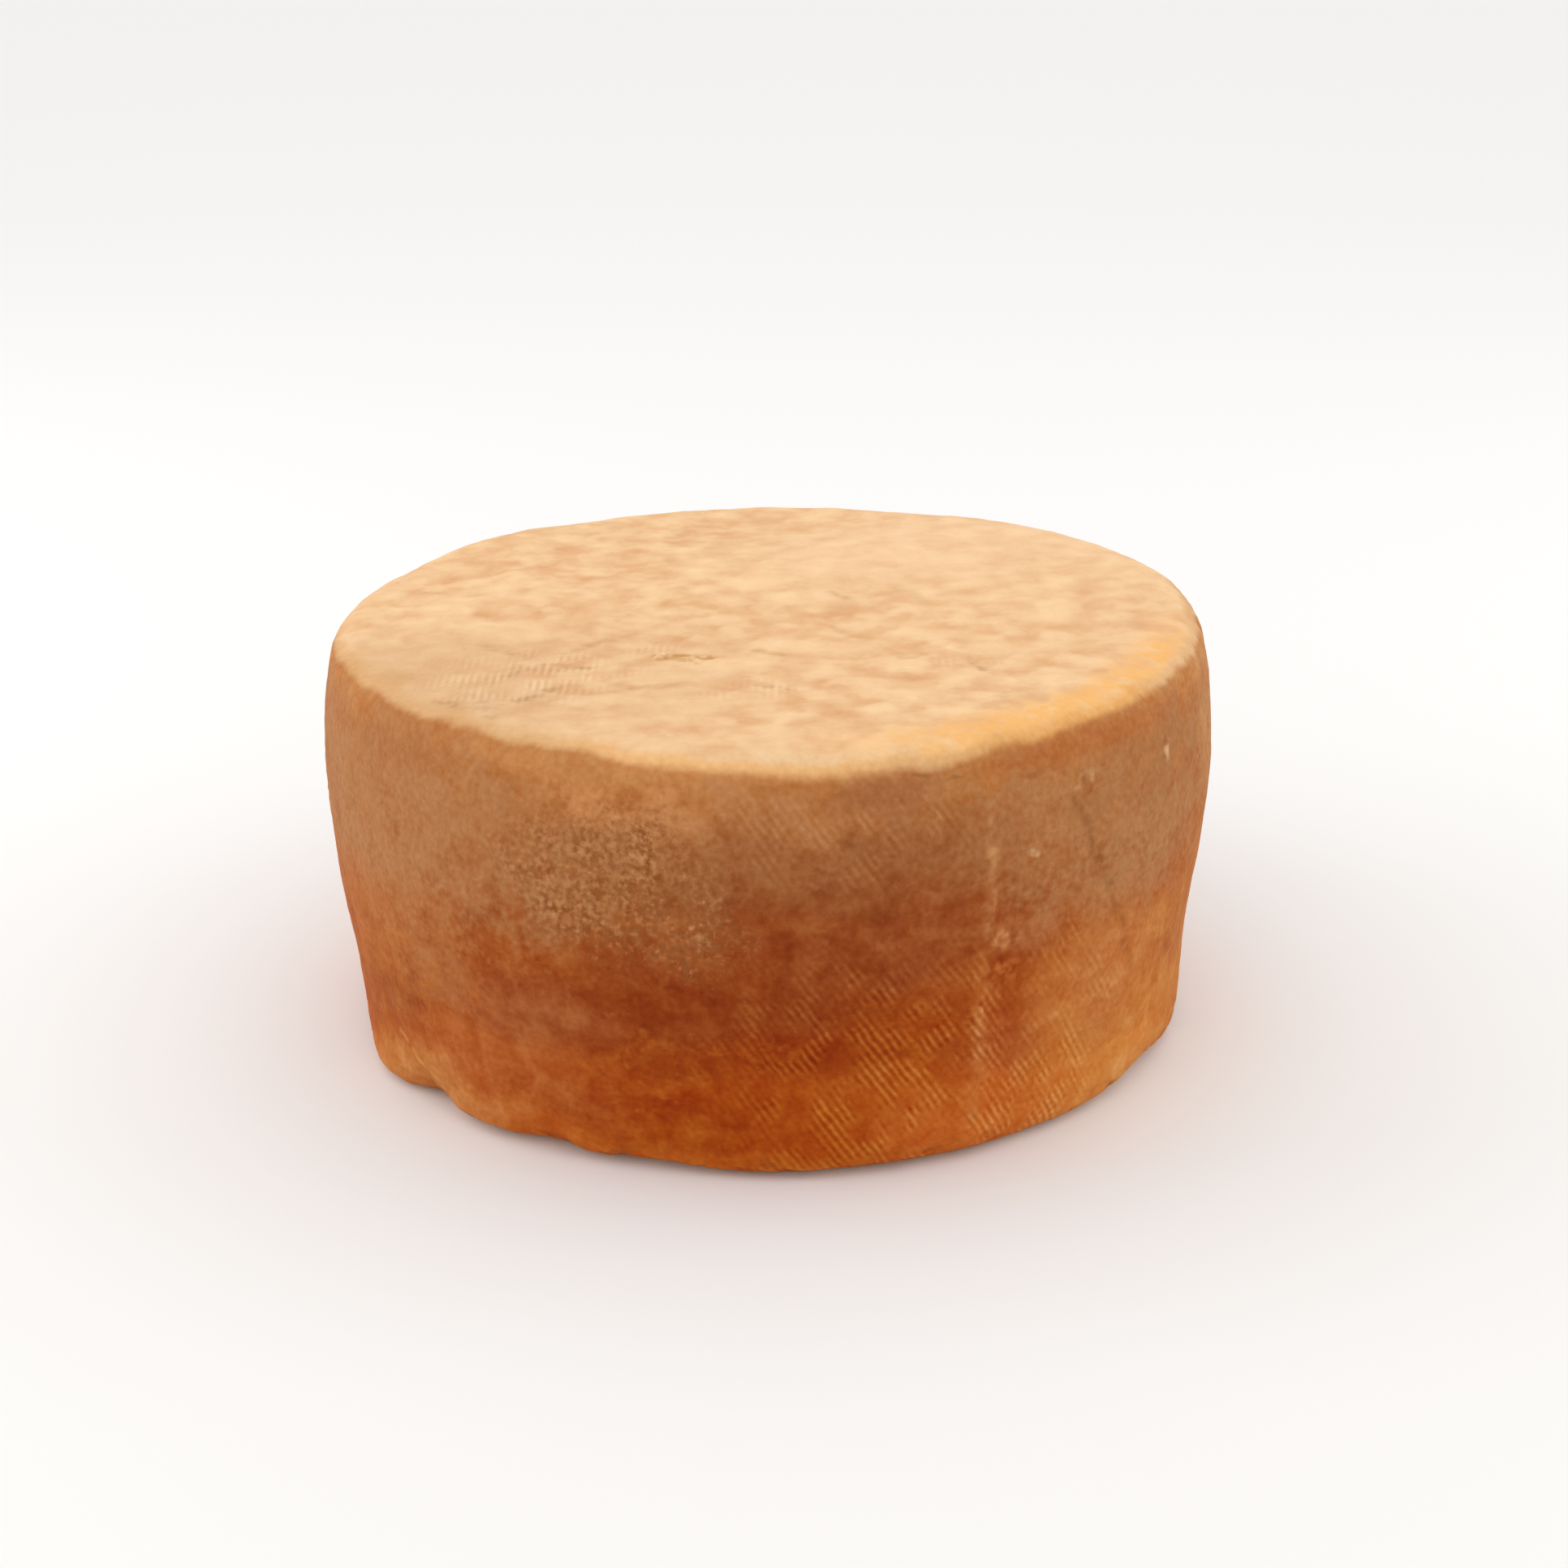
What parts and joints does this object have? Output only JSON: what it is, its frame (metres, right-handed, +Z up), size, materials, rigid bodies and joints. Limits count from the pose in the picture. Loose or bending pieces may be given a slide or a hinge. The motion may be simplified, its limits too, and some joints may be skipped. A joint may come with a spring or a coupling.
{
  "type": "cheese wheel",
  "caption": "Whole, uncut wheel of pressed cheese: a squat drum with a soft rim, cloth-marked washed rind and a flat base, made to stand on a shelf, board or counter.",
  "frame": {"origin": "middle of the flat base that the wheel rests on", "axes": "+Z up along the axis of the drum, from the base to the top face; -Y is the front, where the straight cloth fold runs down the flank 25 degrees to the right of the middle; +X is to the right of the front"},
  "size_m": [0.2622, 0.2623, 0.124],
  "materials": {
    "rind": "dry, matt natural rind: pale tan top and underside, orange-tan rim, rust-brown flank with a grey-tan bloom and cloth marks"
  },
  "bodies": {
    "root": {"cheese_wheel": "rind"}
  },
  "joints": []
}
